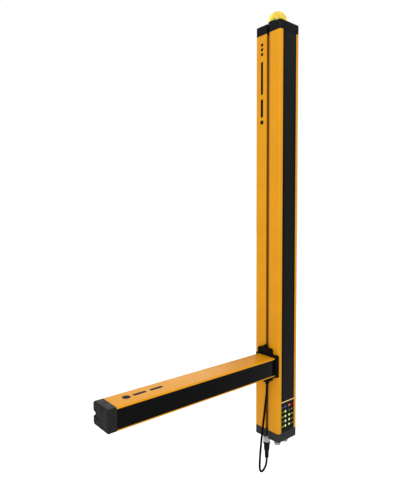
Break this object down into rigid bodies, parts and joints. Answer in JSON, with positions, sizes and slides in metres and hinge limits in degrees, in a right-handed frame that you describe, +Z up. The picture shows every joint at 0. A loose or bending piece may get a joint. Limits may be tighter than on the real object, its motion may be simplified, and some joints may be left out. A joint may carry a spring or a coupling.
{
  "type": "safety light curtain",
  "caption": "Tall light-curtain receiver column with a long black window, status lights, a signal lamp on top and a horizontal muting-sensor arm plugged in by a short cable.",
  "frame": {"origin": "middle of the column's flat rear face", "axes": "+Z up along the column, +Y out of the rear face, the window looks along -Y and the arm points along -X"},
  "size_m": [0.393, 0.0606, 0.8654],
  "materials": {
    "yellow_paint": "satin powder coat, light orange texture",
    "black_window": "polished, deep black",
    "window_divider": "satin",
    "black_plastic": "fine moulded grain",
    "grey_plastic": "fine moulded grain",
    "lamp_yellow": "polished, translucent",
    "light_green": "lit",
    "light_red": "lit",
    "light_blue": "lit",
    "light_unlit": "satin",
    "nickel": "turned",
    "dark_steel": "black oxide",
    "zinc": "plated",
    "contact_gold": "plated",
    "seal_rubber": "matt",
    "cable_jacket": "smooth",
    "board_green": "lacquered",
    "carrier_grey": "moulded",
    "clear_lens": "polished",
    "diode_dark": "tinted"
  },
  "bodies": {
    "root": {"arm_bracket": "black_plastic", "arm_bracket_seal": "seal_rubber", "arm_end_cap": "grey_plastic", "arm_end_screws": "dark_steel", "arm_end_seal": "seal_rubber", "arm_housing": "yellow_paint", "arm_lenses": "clear_lens", "arm_mount_screws": "zinc", "arm_optics_bar": "carrier_grey", "arm_sensor_board": "board_green", "arm_sensors": "diode_dark", "arm_window": "black_window", "beam_board": "board_green", "beam_lenses": "clear_lens", "beam_receivers": "diode_dark", "bottom_cap": "grey_plastic", "bottom_cap_screws": "dark_steel", "bottom_cap_seal": "seal_rubber", "bracket_screws": "dark_steel", "cable_gland": "seal_rubber", "column_housing": "yellow_paint", "column_window": "black_window", "control_board": "board_green", "display_board": "board_green", "display_frame": "carrier_grey", "indicator_light_blue": "light_blue", "indicator_light_red": "light_red", "indicator_light_unlit": "light_unlit", "indicator_lights_green": "light_green", "indicator_panel": "black_window", "lamp_base": "black_plastic", "lamp_base_screws": "zinc", "lamp_board": "board_green", "lamp_dome": "lamp_yellow", "lamp_leds": "diode_dark", "lamp_seal": "seal_rubber", "optics_carrier": "carrier_grey", "patch_cable": "cable_jacket", "plug_body": "black_plastic", "plug_insert": "black_plastic", "plug_nut": "nickel", "slot_nuts": "zinc", "socket_insert_arm": "black_plastic", "socket_insert_data": "black_plastic", "socket_insert_power": "black_plastic", "socket_nut_arm": "nickel", "socket_nut_data": "nickel", "socket_nut_power": "nickel", "socket_pins_arm": "contact_gold", "socket_pins_data": "contact_gold", "socket_pins_power": "contact_gold", "socket_shell_arm": "nickel", "socket_shell_data": "nickel", "socket_shell_power": "nickel", "status_leds": "diode_dark", "top_cap": "black_plastic", "top_cap_screws": "dark_steel", "top_cap_seal": "seal_rubber", "window_divider": "window_divider"}
  },
  "joints": []
}
